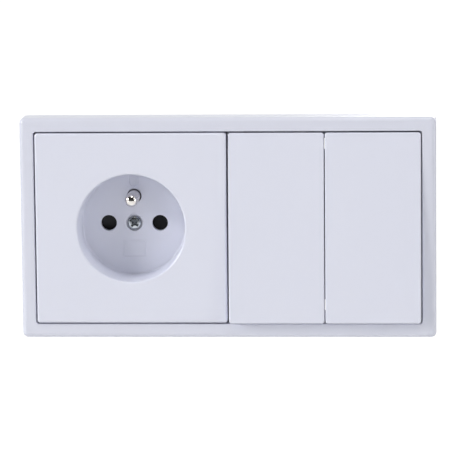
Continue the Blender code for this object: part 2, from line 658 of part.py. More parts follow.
def make_socket_base(home):
    outer = BOWL_BORE + BOWL_WALL
    profile = [
        (POST_RADIUS, POST_FRONT),
        (POST_RADIUS, BASE_FLOOR),
        (BOWL_BORE, BASE_FLOOR),
        (BOWL_BORE, -BOWL_FRONT),
        (outer, -BOWL_FRONT),
        (outer, CLEAR),
        (BASE_FLANGE, CLEAR),
        (BASE_FLANGE, CLEAR + FLANGE_THICK),
        (outer, CLEAR + FLANGE_THICK),
        (outer, BASE_BACK - MM),
        (outer - MM, BASE_BACK),
        (0.0, BASE_BACK),
    ]
    base = turned("socket_base", home, [(0.0, POST_FRONT), *profile], material=GREY)
    for side_x in (-1, 1):
        for side_z in (-1, 1):
            reach = (outer - CLEAR, outer + HOOK_REACH)
            tool = block(f"base_hook_{side_x}_{side_z}", home, reach,
                         (-RING_THICK - CLEAR - HOOK_THICK, -RING_THICK - CLEAR), square(HOOK_HALF))
            tool.rotation_euler = (0.0, math.atan2(-side_z, side_x), 0.0)
            fuse(base, tool)
    room = TERMINAL_SIDE / 2 + CLEAR
    depth = (BASE_FLOOR - MM, TERMINAL_BACK + CLEAR)
    near = PIN_SPACING / 2 - SLEEVE_RADIUS - CLEAR
    far = TERMINAL_OFFSET + room
    back_holes = (TERMINAL_BACK, BASE_BACK + MM)
    for side in (-1, 1):
        x = tuple(sorted((side * near, side * far)))
        cut(base, block(f"base_chamber_{side}", home, x, depth, square(room), corner=0.4 * MM))
        spot = (side * TERMINAL_OFFSET, 0.0)
        cut(base, hole(f"base_screw_hole_{side}", home, TERMINAL_HEAD_RADIUS + CLEAR, 0.0, back_holes,
                       spot, SMALL))
        wire = rod(f"base_wire_{side}", home, WIRE_RADIUS + CLEAR, (-BASE_FLANGE, 0.0),
                   (side * TERMINAL_OFFSET, WIRE_DEPTH), axis="Z", steps=SMALL)
        cut(base, wire)
    earth_z = (EARTH_OFFSET - EARTH_FLANGE_RADIUS - CLEAR, far)
    cut(base, block("base_earth_chamber", home, square(room), depth, earth_z, corner=0.4 * MM))
    cut(base, hole("base_earth_screw_hole", home, TERMINAL_HEAD_RADIUS + CLEAR, 0.0, back_holes,
                   (0.0, TERMINAL_OFFSET), SMALL))
    cut(base, rod("base_earth_wire", home, WIRE_RADIUS + CLEAR, (0.0, BASE_FLANGE),
                  (WIRE_DEPTH, TERMINAL_OFFSET), axis="X", steps=SMALL))
    cut(base, hole("base_post_hole", home, SCREW_SHANK_RADIUS + CLEAR, 0.0,
                   (POST_FRONT, SCREW_TIP + CLEAR), (0.0, 0.0), SMALL))
    flat = block("base_flat", home, square(2 * outer), (BASE_FLOOR + FLAT_STEP, BASE_BACK + MM),
                 (-2 * outer, -BASE_FLAT))
    return cut(base, flat)


def make_socket(home):
    make_socket_cover(home)
    opening = rod("socket_ring_opening", home, BOWL_BORE + BOWL_WALL + CLEAR, (-RING_THICK - MM, MM),
                  (0.0, 0.0), steps=FINE)
    make_ring("socket_ring", home, opening)
    make_socket_base(home)
    make_contact_cover(home)
    make_earth_pin(home)
    make_earth_strap(home)
    for side, word in ((-1, "left"), (1, "right")):
        make_live_contact(f"live_contact_{word}", home, side)
        terminal_screw(f"live_terminal_screw_{word}", home, (side * TERMINAL_OFFSET, 0.0))
    terminal_screw("earth_terminal_screw", home, (0.0, TERMINAL_OFFSET))
    screw_with_slot("cover_screw", home, SCREW_HEAD_RADIUS, SCREW_HEAD, SCREW_SHANK_RADIUS, SCREW_LENGTH,
                    SCREW_HEAD_SEAT, (0.0, 0.0), -1, True)
    depth = SHUTTER_FRONT + SHUTTER_THICK + CLEAR + SPRING_WIRE
    coil("shutter_spring", home, SPRING_RADIUS, SPRING_WIRE, SPRING_TURNS,
         (depth, CONTACT_COVER_FRONT - CLEAR - SPRING_WIRE), (0.0, 0.0), STEEL, SPRING_LEG)
    make_shutter(Home(empty("shutter_axis", (0.0, 0.0, 0.0), home.guide)))


def make_rocker(word, home, middle):
    """Tall rocker cover: a plate with skirts, and four legs that stand on its cradle."""
    half = (PITCH - 2 * ROCKER_GAP) / 4
    side = 1 if middle > 0 else -1
    x = (middle - half, middle + half)
    z = square(ROCKER_LENGTH / 2)
    face = -ROCKER_FACE
    rocker = block(f"rocker_{word}", home, x, (face, face + ROCKER_DEPTH), z, WHITE, ROCKER_CORNER,
                   ROCKER_EDGE, steps=4)
    inner_x = (x[0] + ROCKER_WALL, x[1] - ROCKER_WALL)
    inner_z = square(ROCKER_LENGTH / 2 - ROCKER_WALL)
    under = face + ROCKER_PLATE
    cut(rocker, block(f"rocker_{word}_hollow", home, inner_x, (under, 0.0), inner_z, corner=0.6 * MM))
    notch_x = (-ROCKER_GAP - ROCKER_WALL, ROCKER_GAP + ROCKER_WALL)
    notch_y = (-PIVOT_DEPTH - EAR_RISE - EAR_ROOM, 0.0)
    cut(rocker, block(f"rocker_{word}_notch", home, notch_x, notch_y, square(EAR_HALF + EAR_ROOM)))
    cradle_x = CRADLE_X[side]
    top = -PIVOT_DEPTH - CRADLE_PLATE - CLEAR
    inset, half_leg = 2 * ROCKER_LEG, ROCKER_LEG / 2
    for i, leg_z in enumerate((-CRADLE_HALF + inset, CRADLE_HALF - inset)):
        for j, leg_x in enumerate((cradle_x[0] + inset, cradle_x[1] - inset)):
            fuse(rocker, block(f"rocker_{word}_leg_{i}{j}", home, (leg_x - half_leg, leg_x + half_leg),
                               (under - MM, top), (leg_z - half_leg, leg_z + half_leg)))
    rib_at = CRADLE_HALF + ROCKER_RIB_BEYOND
    for i, rib_z in enumerate((-rib_at, rib_at)):
        fuse(rocker, block(f"rocker_{word}_rib_{i}", home, (inner_x[0] - MM, inner_x[1] + MM),
                           (under - MM, under + ROCKER_RIB_RISE),
                           (rib_z - ROCKER_RIB / 2, rib_z + ROCKER_RIB / 2)))
    return rocker


def make_cradle(word, home, side):
    """Moulded seesaw under a rocker: its pins turn in the base and its stem holds the plunger."""
    x0, x1 = CRADLE_X[side]
    back = -PIVOT_DEPTH
    cradle = block(f"cradle_{word}", home, (x0, x1), (back - CRADLE_PLATE, back), square(CRADLE_HALF), GREY,
                   corner=MM)
    cheek_back = back + CRADLE_PIN_RADIUS + 0.5 * MM
    for name, x in (("inner", (x0, x0 + CRADLE_CHEEK)), ("outer", (x1 - CRADLE_CHEEK, x1))):
        fuse(cradle, block(f"cradle_{word}_{name}_cheek", home, x, (back - CRADLE_PLATE / 2, cheek_back),
                           square(CRADLE_CHEEK_HALF)))
    pins = (x0 - CRADLE_PIN[side][0], x1 + CRADLE_PIN[side][1])
    for name, span in (("a", (pins[0], x0 + CRADLE_CHEEK / 2)), ("b", (x1 - CRADLE_CHEEK / 2, pins[1]))):
        fuse(cradle, rod(f"cradle_{word}_pin_{name}", home, CRADLE_PIN_RADIUS, span, (back, 0.0),
                         axis="X", steps=SMALL))
    stem_x = (x0 + x1) / 2
    fuse(cradle, rod(f"cradle_{word}_stem", home, STEM_RADIUS, (back - CRADLE_PLATE / 2, STEM_END),
                     (stem_x, 0.0), steps=SMALL))
    return cut(cradle, rod(f"cradle_{word}_stem_bore", home, STEM_BORE, (back, STEM_END + MM),
                           (stem_x, 0.0), steps=SMALL))


def make_plunger(word, home, stem_x):
    tip = LEVER_DEPTH - LEVER_THICK - CLEAR
    shoulder = tip - PLUNGER_RADIUS
    points = [(0.0, -PLUNGER_BACK), (PLUNGER_RADIUS, -PLUNGER_BACK)]
    points += arc((0.0, shoulder), PLUNGER_RADIUS, 0, 90, 4)[:-1] + [(0.0, tip)]
    turned(f"plunger_{word}", home, points, (stem_x, 0.0), BLACK, SMALL)
    coil(f"plunger_spring_{word}", home, COIL_RADIUS, COIL_WIRE, COIL_TURNS,
         (-PIVOT_DEPTH + COIL_WIRE + CLEAR, -PLUNGER_BACK - CLEAR - COIL_WIRE), (stem_x, 0.0), STEEL)


def make_lever(word, home, stem_x):
    """Contact lever that rocks on the feed bridge, with a contact rivet at its upper end."""
    y = (LEVER_DEPTH - LEVER_THICK, LEVER_DEPTH)
    x = (stem_x - LEVER_WIDTH / 2, stem_x + LEVER_WIDTH / 2)
    lever = block(f"contact_lever_{word}", home, x, y, square(LEVER_HALF), BRASS, corner=MM)
    rivet = rod(f"lever_{word}_rivet", home, CONTACT_RADIUS * 0.8, (y[0] - 0.3 * MM, y[1] - 0.2 * MM),
                (stem_x, CONTACT_REACH), steps=SMALL)
    return fuse(lever, rivet)


def make_feed_bridge(home, stems):
    """Brass strip under both levers, with a fulcrum for each and the feed terminal below."""
    front = FIXED_STRIP_FRONT
    back = front + SWITCH_STRIP
    reach = stems[1] + LEVER_WIDTH / 2
    bridge = block("feed_bridge", home, square(reach), (front, back), square(2 * MM), BRASS)
    for i, stem in enumerate(stems):
        x = (stem - LEVER_WIDTH / 2, stem + LEVER_WIDTH / 2)
        fuse(bridge, block(f"feed_fulcrum_{i}", home, x, (LEVER_DEPTH + CLEAR, back - 0.2 * MM),
                           square(FULCRUM_HALF)))
    fuse(bridge, block("feed_strip", home, square(STRIP_WIDTH / 2), (front + 0.1 * MM, back - 0.1 * MM),
                       (-SWITCH_TERMINAL, MM)))
    body, bore, wire = switch_terminal("feed_terminal", home, (0.0, -SWITCH_TERMINAL))
    return cut(fuse(bridge, body), bore, wire)


def switch_terminal(name, home, middle):
    half = SWITCH_TERMINAL_HALF
    x, z = middle
    front, back = SWITCH_TERMINAL_FRONT, SWITCH_TERMINAL_BACK
    body = block(name + "_block", home, (x - half, x + half), (front, back), (z - half, z + half),
                 corner=0.4 * MM)
    bore = hole(name + "_bore", home, TERMINAL_SHANK_RADIUS + CLEAR, 0.0,
                (back - TERMINAL_SHANK - CLEAR, back + MM), middle, SMALL)
    wire = rod(name + "_wire_hole", home, WIRE_RADIUS, tuple(sorted((z - 2 * half, z + 2 * half))),
               (x, front + half * 0.8), axis="Z", steps=SMALL)
    return body, bore, wire


def make_output_contact(word, home, stem_x):
    front = FIXED_STRIP_FRONT
    back = front + SWITCH_STRIP
    bottom = CONTACT_REACH - CONTACT_RADIUS
    contact = block(f"output_contact_{word}", home, (stem_x - STRIP_WIDTH / 2, stem_x + STRIP_WIDTH / 2),
                    (front, back), (bottom, SWITCH_TERMINAL), BRASS)
    rivet = rod(f"output_{word}_rivet", home, CONTACT_RADIUS, (front - RIVET_RISE, back - 0.2 * MM),
                (stem_x, CONTACT_REACH), steps=SMALL)
    body, bore, wire = switch_terminal(f"output_terminal_{word}", home, (stem_x, SWITCH_TERMINAL))
    return cut(fuse(contact, rivet, body), bore, wire)


def make_switch_base(home, stems):
    half = SWITCH_HALF
    base = block("switch_base", home, square(half), (-SWITCH_FRONT, SWITCH_BACK), square(half), GREY,
                 corner=SWITCH_BEVEL, back=MM)
    flange = half + 2.4 * MM
    fuse(base, block("switch_flange", home, square(flange), (CLEAR, CLEAR + FLANGE_THICK),
                     square(half * 0.66), corner=MM))
    hook_y = (-RING_THICK - CLEAR - HOOK_THICK, -RING_THICK - CLEAR)
    for side in (-1, 1):
        x = tuple(sorted((side * (half - MM), side * (half + HOOK_REACH))))
        fuse(base, block(f"switch_hook_{side}", home, x, hook_y, square(2 * HOOK_HALF)))
    walls = ((-half, -half + SWITCH_WALL), (-WEB_HALF, WEB_HALF), (half - SWITCH_WALL, half))
    ear_y = (-PIVOT_DEPTH - EAR_RISE, -SWITCH_FRONT + MM)
    for i, wall in enumerate(walls):
        inset = 0.01 * MM if i != 1 else 0.0
        fuse(base, block(f"switch_ear_{i}", home, (wall[0] + inset, wall[1] - inset), ear_y,
                         square(EAR_HALF)))
    for i, x in enumerate(((-half + SWITCH_WALL, -WEB_HALF), (WEB_HALF, half - SWITCH_WALL))):
        cut(base, block(f"switch_cavity_{i}", home, x, (-SWITCH_FRONT - MM, SWITCH_FLOOR),
                        square(CAVITY_HALF)))
    bearing = CRADLE_PIN_RADIUS + BEARING_CLEAR
    cut(base, rod("switch_bearing", home, bearing, square(half + MM), (-PIVOT_DEPTH, 0.0), axis="X",
                  steps=SMALL))
    bridge_room = (LEVER_DEPTH - LEVER_THICK, SWITCH_FLOOR - 0.1 * MM)
    cut(base, block("switch_bridge_notch", home, square(2 * WEB_HALF), bridge_room, square(4 * MM)))
    room = SWITCH_TERMINAL_HALF + CLEAR
    depth = (FIXED_STRIP_FRONT - 2 * MM, SWITCH_TERMINAL_BACK + CLEAR)
    chambers = [(stem, SWITCH_TERMINAL) for stem in stems] + [(0.0, -SWITCH_TERMINAL)]
    for i, (x, z) in enumerate(chambers):
        side = 1 if z > 0 else -1
        inner = side * min(CAVITY_HALF - MM, SWITCH_TERMINAL - room) if i < 2 else side * 2 * MM
        z_span = tuple(sorted((inner, z + side * room)))
        depth_span = depth if i < 2 else (FIXED_STRIP_FRONT - 2 * MM, SWITCH_FLOOR + CLEAR)
        cut(base, block(f"switch_chamber_{i}", home, (x - room, x + room), depth_span, z_span))
        if i == 2:
            cut(base, block("switch_feed_room", home, (x - room, x + room), depth, (z - room, z + room)))
        cut(base, hole(f"switch_screw_hole_{i}", home, TERMINAL_HEAD_RADIUS + CLEAR, 0.0,
                       (SWITCH_TERMINAL_BACK, SWITCH_BACK + MM), (x, z), SMALL))
        wire_z = tuple(sorted((z, z + side * 2 * room)))
        cut(base, rod(f"switch_wire_{i}", home, WIRE_RADIUS + CLEAR, wire_z,
                      (x, SWITCH_TERMINAL_FRONT + SWITCH_TERMINAL_HALF * 0.8), axis="Z", steps=SMALL))
    return base


def make_switch(home):
    opening = block("switch_ring_opening", home, square(SWITCH_HALF + CLEAR), (-RING_THICK - MM, MM),
                    square(SWITCH_HALF + CLEAR), corner=SWITCH_BEVEL)
    make_ring("switch_ring", home, opening)
    stems = [(CRADLE_X[side][0] + CRADLE_X[side][1]) / 2 for side in (-1, 1)]
    make_switch_base(home, stems)
    make_feed_bridge(home, stems)
    terminal_screw("feed_terminal_screw", home, (0.0, -SWITCH_TERMINAL), SWITCH_TERMINAL_BACK)
    for side, word, stem in ((-1, "left", stems[0]), (1, "right", stems[1])):
        make_output_contact(word, home, stem)
        terminal_screw(f"output_terminal_screw_{word}", home, (stem, SWITCH_TERMINAL), SWITCH_TERMINAL_BACK)
        pivot = (stem, -PIVOT_DEPTH, 0.0)
        rocking = Home(empty(f"rocker_{word}_axis", pivot, home.guide, -ROCKER_TILT), pivot)
        make_rocker(word, rocking, side * PITCH / 4)
        make_cradle(word, rocking, side)
        make_plunger(word, rocking, stem)
        rest = (stem, LEVER_DEPTH, 0.0)
        make_lever(word, Home(empty(f"contact_lever_{word}_axis", rest, home.guide, LEVER_TILT), rest), stem)


clear_scene()
PARTS = new_collection("flush_wiring_set")
TOOLS = new_collection("cutters")
WHITE = finish("white_plastic", (0.69, 0.71, 0.78), 0.35, 0.0)
GREY = finish("base_plastic", (0.60, 0.60, 0.58), 0.5, 0.0)
BLACK = finish("black_plastic", (0.02, 0.02, 0.022), 0.45, 0.0)
STEEL = finish("zinc_steel", (0.55, 0.56, 0.58), 0.35, 1.0)
NICKEL = finish("nickel", (0.66, 0.65, 0.62), 0.2, 1.0)
BRASS = finish("brass", (0.72, 0.53, 0.25), 0.3, 1.0)

make_cover_frame(Home(None))
make_socket(Home(empty("socket_axis", (-PITCH / 2, 0.0, 0.0))))
make_switch(Home(empty("switch_axis", (PITCH / 2, 0.0, 0.0))))
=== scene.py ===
import json
import math
import bmesh
import bpy
from mathutils import Matrix, Vector


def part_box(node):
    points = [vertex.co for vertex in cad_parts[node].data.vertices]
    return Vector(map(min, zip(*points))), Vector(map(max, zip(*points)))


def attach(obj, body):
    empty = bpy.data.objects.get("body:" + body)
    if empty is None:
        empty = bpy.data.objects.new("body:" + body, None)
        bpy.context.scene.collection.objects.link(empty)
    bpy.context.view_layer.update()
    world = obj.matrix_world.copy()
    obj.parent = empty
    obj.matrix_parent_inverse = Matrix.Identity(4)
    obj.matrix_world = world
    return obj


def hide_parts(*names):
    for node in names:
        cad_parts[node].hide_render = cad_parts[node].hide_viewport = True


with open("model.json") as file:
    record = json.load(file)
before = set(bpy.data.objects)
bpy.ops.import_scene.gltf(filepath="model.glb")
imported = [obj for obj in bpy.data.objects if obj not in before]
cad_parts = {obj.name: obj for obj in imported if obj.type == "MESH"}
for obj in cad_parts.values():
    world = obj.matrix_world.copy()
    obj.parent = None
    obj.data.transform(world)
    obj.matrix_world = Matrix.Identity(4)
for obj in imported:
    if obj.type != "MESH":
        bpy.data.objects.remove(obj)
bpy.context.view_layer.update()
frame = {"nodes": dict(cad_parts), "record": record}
mm = 0.001
weld = 0.002  # points of a shape that lie closer, in millimetres, are one
sliver = 0.08  # flat strip between a rounded edge and the face beside it
noiseMiddle = (0.3, 0.7)
gangPitch = 71
socketX = -gangPitch / 2
switchX = gangPitch / 2
sharpAngle = math.radians(33)


# Shader groups that several finishes share

def newGroup(name, inputs, outputs):
    group = bpy.data.node_groups.new(name, "ShaderNodeTree")
    for label, kind, value in inputs:
        socket = group.interface.new_socket(name=label, in_out="INPUT", socket_type=kind)
        socket.default_value = value
    for label, kind in outputs:
        group.interface.new_socket(name=label, in_out="OUTPUT", socket_type=kind)
    return group, group.nodes.new("NodeGroupInput"), group.nodes.new("NodeGroupOutput")


def addNode(tree, kind, **values):
    node = tree.nodes.new(kind)
    for key, value in values.items():
        setattr(node, key, value)
    return node


def mathNode(tree, operation, first, second):
    node = addNode(tree, "ShaderNodeMath", operation=operation)
    for socket, value in zip(node.inputs, (first, second)):
        if hasattr(value, "is_output"):
            tree.links.new(value, socket)
        else:
            socket.default_value = value
    return node.outputs[0]


def noiseNode(tree, coordinates, scale, detail, stretch=None):
    noise = addNode(tree, "ShaderNodeTexNoise")
    noise.inputs["Detail"].default_value = detail
    if hasattr(scale, "is_output"):
        tree.links.new(scale, noise.inputs["Scale"])
    else:
        noise.inputs["Scale"].default_value = scale
    if stretch:
        mapping = addNode(tree, "ShaderNodeMapping")
        mapping.inputs["Scale"].default_value = stretch
        tree.links.new(coordinates, mapping.inputs["Vector"])
        coordinates = mapping.outputs["Vector"]
    tree.links.new(coordinates, noise.inputs["Vector"])
    return noise.outputs["Fac"]


def rangeNode(tree, value, low, high):
    # spreads the middle of a noise over low..high
    node = addNode(tree, "ShaderNodeMapRange")
    node.inputs["From Min"].default_value, node.inputs["From Max"].default_value = noiseMiddle
    tree.links.new(value, node.inputs["Value"])
    for label, limit in (("To Min", low), ("To Max", high)):
        if hasattr(limit, "is_output"):
            tree.links.new(limit, node.inputs[label])
        else:
            node.inputs[label].default_value = limit
    return node.outputs["Result"]


def mixColour(tree, factor, first, second, blend="MIX"):
    node = addNode(tree, "ShaderNodeMix", data_type="RGBA", blend_type=blend)
    for label, value in (("Factor", factor), ("A", first), ("B", second)):
        socket = [s for s in node.inputs if s.name == label and s.enabled][0]
        if hasattr(value, "is_output"):
            tree.links.new(value, socket)
        else:
            socket.default_value = value
    return [s for s in node.outputs if s.enabled][0]


skinLook = {"flowScale": 22, "flowStretch": (1, 1, 0.35), "smearScale": 140,
            "waveHeight": 0.1 * mm, "grainHeight": 0.02 * mm}


def mouldedSkinGroup():
    # a moulded plastic skin: faint flow marks, a fine mould grain and a long soft waviness
    group, enter, leave = newGroup(
        "mouldedSkin",
        [("Color", "NodeSocketColor", (0.8, 0.8, 0.8, 1)),
         ("Flow Tint", "NodeSocketColor", (0.7, 0.7, 0.7, 1)),
         ("Flow Amount", "NodeSocketFloat", 0.2), ("Roughness", "NodeSocketFloat", 0.3),
         ("Roughness Spread", "NodeSocketFloat", 0.05), ("Grain Scale", "NodeSocketFloat", 3000),
         ("Grain Depth", "NodeSocketFloat", 0.1), ("Wave Scale", "NodeSocketFloat", 60),
         ("Wave Depth", "NodeSocketFloat", 0.1)],
        [("Color", "NodeSocketColor"), ("Roughness", "NodeSocketFloat"), ("Normal", "NodeSocketVector")])
    place = addNode(group, "ShaderNodeTexCoord").outputs["Object"]
    flow = noiseNode(group, place, skinLook["flowScale"], 3, skinLook["flowStretch"])
    factor = mathNode(group, "MULTIPLY", rangeNode(group, flow, 0, 1), enter.outputs["Flow Amount"])
    group.links.new(mixColour(group, factor, enter.outputs["Color"], enter.outputs["Flow Tint"]),
                    leave.inputs["Color"])
    low = mathNode(group, "SUBTRACT", enter.outputs["Roughness"], enter.outputs["Roughness Spread"])
    high = mathNode(group, "ADD", enter.outputs["Roughness"], enter.outputs["Roughness Spread"])
    smear = noiseNode(group, place, skinLook["smearScale"], 4)
    group.links.new(rangeNode(group, smear, low, high), leave.inputs["Roughness"])
    wave = addNode(group, "ShaderNodeBump")
    wave.inputs["Distance"].default_value = skinLook["waveHeight"]
    group.links.new(enter.outputs["Wave Depth"], wave.inputs["Strength"])
    group.links.new(noiseNode(group, place, enter.outputs["Wave Scale"], 1), wave.inputs["Height"])
    grain = addNode(group, "ShaderNodeBump")
    grain.inputs["Distance"].default_value = skinLook["grainHeight"]
    group.links.new(enter.outputs["Grain Depth"], grain.inputs["Strength"])
    group.links.new(noiseNode(group, place, enter.outputs["Grain Scale"], 2), grain.inputs["Height"])
    group.links.new(wave.outputs["Normal"], grain.inputs["Normal"])
    group.links.new(grain.outputs["Normal"], leave.inputs["Normal"])
    return group


metalLook = {"streakScale": 900, "streakStretch": (0.06, 1, 1), "streakHeight": 0.02 * mm}


def workedMetalGroup():
    # plated or rolled metal: cloudy plating, drawn streaks along one way, and a fine scratchy height
    group, enter, leave = newGroup(
        "workedMetal",
        [("Color", "NodeSocketColor", (0.6, 0.6, 0.6, 1)),
         ("Cloud Color", "NodeSocketColor", (0.4, 0.4, 0.4, 1)),
         ("Cloud Scale", "NodeSocketFloat", 300), ("Cloud Amount", "NodeSocketFloat", 0.4),
         ("Roughness", "NodeSocketFloat", 0.3), ("Roughness Spread", "NodeSocketFloat", 0.1),
         ("Streak Depth", "NodeSocketFloat", 0.2)],
        [("Color", "NodeSocketColor"), ("Roughness", "NodeSocketFloat"), ("Normal", "NodeSocketVector")])
    place = addNode(group, "ShaderNodeTexCoord").outputs["Object"]
    cloud = noiseNode(group, place, enter.outputs["Cloud Scale"], 5)
    factor = mathNode(group, "MULTIPLY", rangeNode(group, cloud, 0, 1), enter.outputs["Cloud Amount"])
    group.links.new(mixColour(group, factor, enter.outputs["Color"], enter.outputs["Cloud Color"]),
                    leave.inputs["Color"])
    low = mathNode(group, "SUBTRACT", enter.outputs["Roughness"], enter.outputs["Roughness Spread"])
    high = mathNode(group, "ADD", enter.outputs["Roughness"], enter.outputs["Roughness Spread"])
    streak = noiseNode(group, place, metalLook["streakScale"], 4, metalLook["streakStretch"])
    group.links.new(rangeNode(group, streak, low, high), leave.inputs["Roughness"])
    bump = addNode(group, "ShaderNodeBump")
    bump.inputs["Distance"].default_value = metalLook["streakHeight"]
    group.links.new(enter.outputs["Streak Depth"], bump.inputs["Strength"])
    group.links.new(streak, bump.inputs["Height"])
    group.links.new(bump.outputs["Normal"], leave.inputs["Normal"])
    return group


skin = mouldedSkinGroup()
metal = workedMetalGroup()

finishes = {
    "glossyWhite": {"group": skin, "slot": "white_plastic", "metallic": 0, "coat": 0.15, "ior": 1.5,
                    "sss": 0.05, "Color": (0.765, 0.78, 0.88, 1), "Flow Tint": (0.73, 0.75, 0.86, 1),
                    "Flow Amount": 0.2, "Roughness": 0.30, "Roughness Spread": 0.02,
                    "Grain Scale": 2600, "Grain Depth": 0.1, "Wave Scale": 30, "Wave Depth": 0.06},
    "baseResin": {"group": skin, "slot": "base_plastic", "metallic": 0, "coat": 0, "ior": 1.5,
                  "sss": 0, "Color": (0.56, 0.56, 0.54, 1), "Flow Tint": (0.47, 0.47, 0.46, 1),
                  "Flow Amount": 0.6, "Roughness": 0.52, "Roughness Spread": 0.06,
                  "Grain Scale": 1500, "Grain Depth": 0.45, "Wave Scale": 90, "Wave Depth": 0.4},
    "blackResin": {"group": skin, "slot": "black_plastic", "metallic": 0, "coat": 0, "ior": 1.35,
                   "sss": 0, "Color": (0.008, 0.008, 0.01, 1), "Flow Tint": (0.018, 0.018, 0.02, 1),
                   "Flow Amount": 0.4, "Roughness": 0.5, "Roughness Spread": 0.06,
                   "Grain Scale": 1800, "Grain Depth": 0.3, "Wave Scale": 120, "Wave Depth": 0.3},
    "zincPlate": {"group": metal, "slot": "zinc_steel", "metallic": 1, "coat": 0, "ior": 1.5, "sss": 0,
                  "Color": (0.57, 0.58, 0.60, 1), "Cloud Color": (0.40, 0.41, 0.44, 1),
                  "Cloud Scale": 420, "Cloud Amount": 0.7, "Roughness": 0.34,
                  "Roughness Spread": 0.09, "Streak Depth": 0.35},
    "screwSteel": {"group": metal, "slot": "zinc_steel", "metallic": 1, "coat": 0, "ior": 1.5, "sss": 0,
                   "Color": (0.57, 0.61, 0.64, 1), "Cloud Color": (0.40, 0.44, 0.475, 1),
                   "Cloud Scale": 900, "Cloud Amount": 0.6, "Roughness": 0.27,
                   "Roughness Spread": 0.08, "Streak Depth": 0.3},
    # painted shade: a darker steel for the screw's recess and head rim, standing in for the shade that falls
    # in them
    "recessShadeSteel": {"group": metal, "slot": "zinc_steel", "metallic": 1, "coat": 0, "ior": 1.5, "sss": 0,
                   "Color": (0.24, 0.27, 0.29, 1), "Cloud Color": (0.09, 0.10, 0.115, 1),
                   "Cloud Scale": 1400, "Cloud Amount": 1, "Roughness": 0.5,
                   "Roughness Spread": 0.12, "Streak Depth": 0.5},
    "polishedNickel": {"group": metal, "slot": "nickel", "metallic": 1, "coat": 0, "ior": 1.5, "sss": 0,
                       "Color": (0.72, 0.69, 0.66, 1), "Cloud Color": (0.60, 0.57, 0.54, 1),
                       "Cloud Scale": 700, "Cloud Amount": 0.4, "Roughness": 0.13,
                       "Roughness Spread": 0.04, "Streak Depth": 0.06},
    "rolledBrass": {"group": metal, "slot": "brass", "metallic": 1, "coat": 0, "ior": 1.5, "sss": 0,
                    "Color": (0.72, 0.53, 0.25, 1), "Cloud Color": (0.55, 0.38, 0.16, 1),
                    "Cloud Scale": 260, "Cloud Amount": 0.7, "Roughness": 0.30,
                    "Roughness Spread": 0.09, "Streak Depth": 0.3},
}
depthLook = {"coatRoughness": 0.18, "radius": (1.0, 0.9, 0.8), "scale": 0.6 * mm}
# painted shade: the frame's mouldings take the covers' white made a touch greyer, standing in for the shade
# that falls on its borders
finishes["shadedFrameWhite"] = {**finishes["glossyWhite"], "Color": (0.723, 0.737, 0.832, 1),
                          "Flow Tint": (0.69, 0.709, 0.813, 1)}
surfaces = {}


def makeSurface(name, look):
    material = bpy.data.materials.new(name)
    material.use_nodes = True
    tree = material.node_tree
    shader = tree.nodes["Principled BSDF"]
    shader.inputs["Metallic"].default_value = look["metallic"]
    shader.inputs["IOR"].default_value = look["ior"]
    shader.inputs["Coat Weight"].default_value = look["coat"]
    shader.inputs["Coat Roughness"].default_value = depthLook["coatRoughness"]
    if look["sss"]:
        shader.inputs["Subsurface Weight"].default_value = look["sss"]
        shader.inputs["Subsurface Radius"].default_value = depthLook["radius"]
        shader.inputs["Subsurface Scale"].default_value = depthLook["scale"]
    group = addNode(tree, "ShaderNodeGroup", node_tree=look["group"])
    for socket in group.inputs:
        socket.default_value = look[socket.name]
    tree.links.new(group.outputs["Color"], shader.inputs["Base Color"])
    tree.links.new(group.outputs["Roughness"], shader.inputs["Roughness"])
    tree.links.new(group.outputs["Normal"], shader.inputs["Normal"])
    surfaces[name] = material


for finishName, finishLook in finishes.items():
    makeSurface(finishName, finishLook)
print("finishes ready")


# Tools that draw closed loops and shells; shapes are drawn in millimetres

def newEdges(bm, make):
    before = set(bm.edges)
    make()
    return [edge for edge in bm.edges if edge not in before]


def squareLoop(bm, halfX, halfZ, y, radius, centre=(0, 0), steps=6):
    # a rectangle whose corners are bevelled round; only its rim is kept
    def make():
        corners = [bm.verts.new((centre[0] + sx * halfX, y, centre[1] + sz * halfZ))
                   for sx, sz in ((-1, -1), (1, -1), (1, 1), (-1, 1))]
        bm.faces.new(corners)
        bmesh.ops.bevel(bm, geom=corners, offset=radius, segments=steps, profile=0.5, affect="VERTICES",
                        material=-1)
    edges = newEdges(bm, make)
    cap = [face for face in edges[0].link_faces]
    bmesh.ops.delete(bm, geom=cap, context="FACES_ONLY")
    return edges


def roundLoop(bm, radius, y, centre=(0, 0), steps=96):
    place = Matrix.Translation((centre[0], y, centre[1])) @ Matrix.Rotation(math.pi / 2, 4, "X")
    return newEdges(bm, lambda: bmesh.ops.create_circle(
        bm, cap_ends=False, segments=steps, radius=radius, matrix=place))


def drawnLoop(bm, points):
    verts = [bm.verts.new(point) for point in points]
    return [bm.edges.new(pair) for pair in zip(verts, verts[1:] + verts[:1])]


def loft(bm, loops, closed=False):
    pairs = list(zip(loops, loops[1:]))
    if closed:
        pairs.append((loops[-1], loops[0]))
    for first, second in pairs:
        if abs(first[0].verts[0].co.y - second[0].verts[0].co.y) < weld:
            flatFill(bm, first, second)
        else:
            bmesh.ops.bridge_loops(bm, edges=first + second)


def flatFill(bm, *loops):
    edges = [edge for loop in loops for edge in loop]
    bmesh.ops.triangle_fill(bm, edges=edges, use_beauty=True, normal=(0, -1, 0))


def roundOver(radius, steps=5):
    # (inward, forward) steps of a quarter round, from the side wall up to the flat
    return [(radius * (1 - math.cos(a)), radius * (1 - math.sin(a)))
            for a in (math.pi / 2 * i / steps for i in range(steps + 1))]


def shellBox(bm, x, y, z, edge, steps=2):
    made = bmesh.ops.create_cube(bm, size=1)["verts"]
    size = Vector((x[1] - x[0], y[1] - y[0], z[1] - z[0]))
    bmesh.ops.scale(bm, vec=size, verts=made)
    bmesh.ops.translate(bm, vec=Vector((x[0] + x[1], y[0] + y[1], z[0] + z[1])) / 2, verts=made)
    edges = list({edge for vert in made for edge in vert.link_edges})
    bmesh.ops.bevel(bm, geom=edges, offset=edge, segments=steps, profile=0.5, affect="EDGES", material=-1)


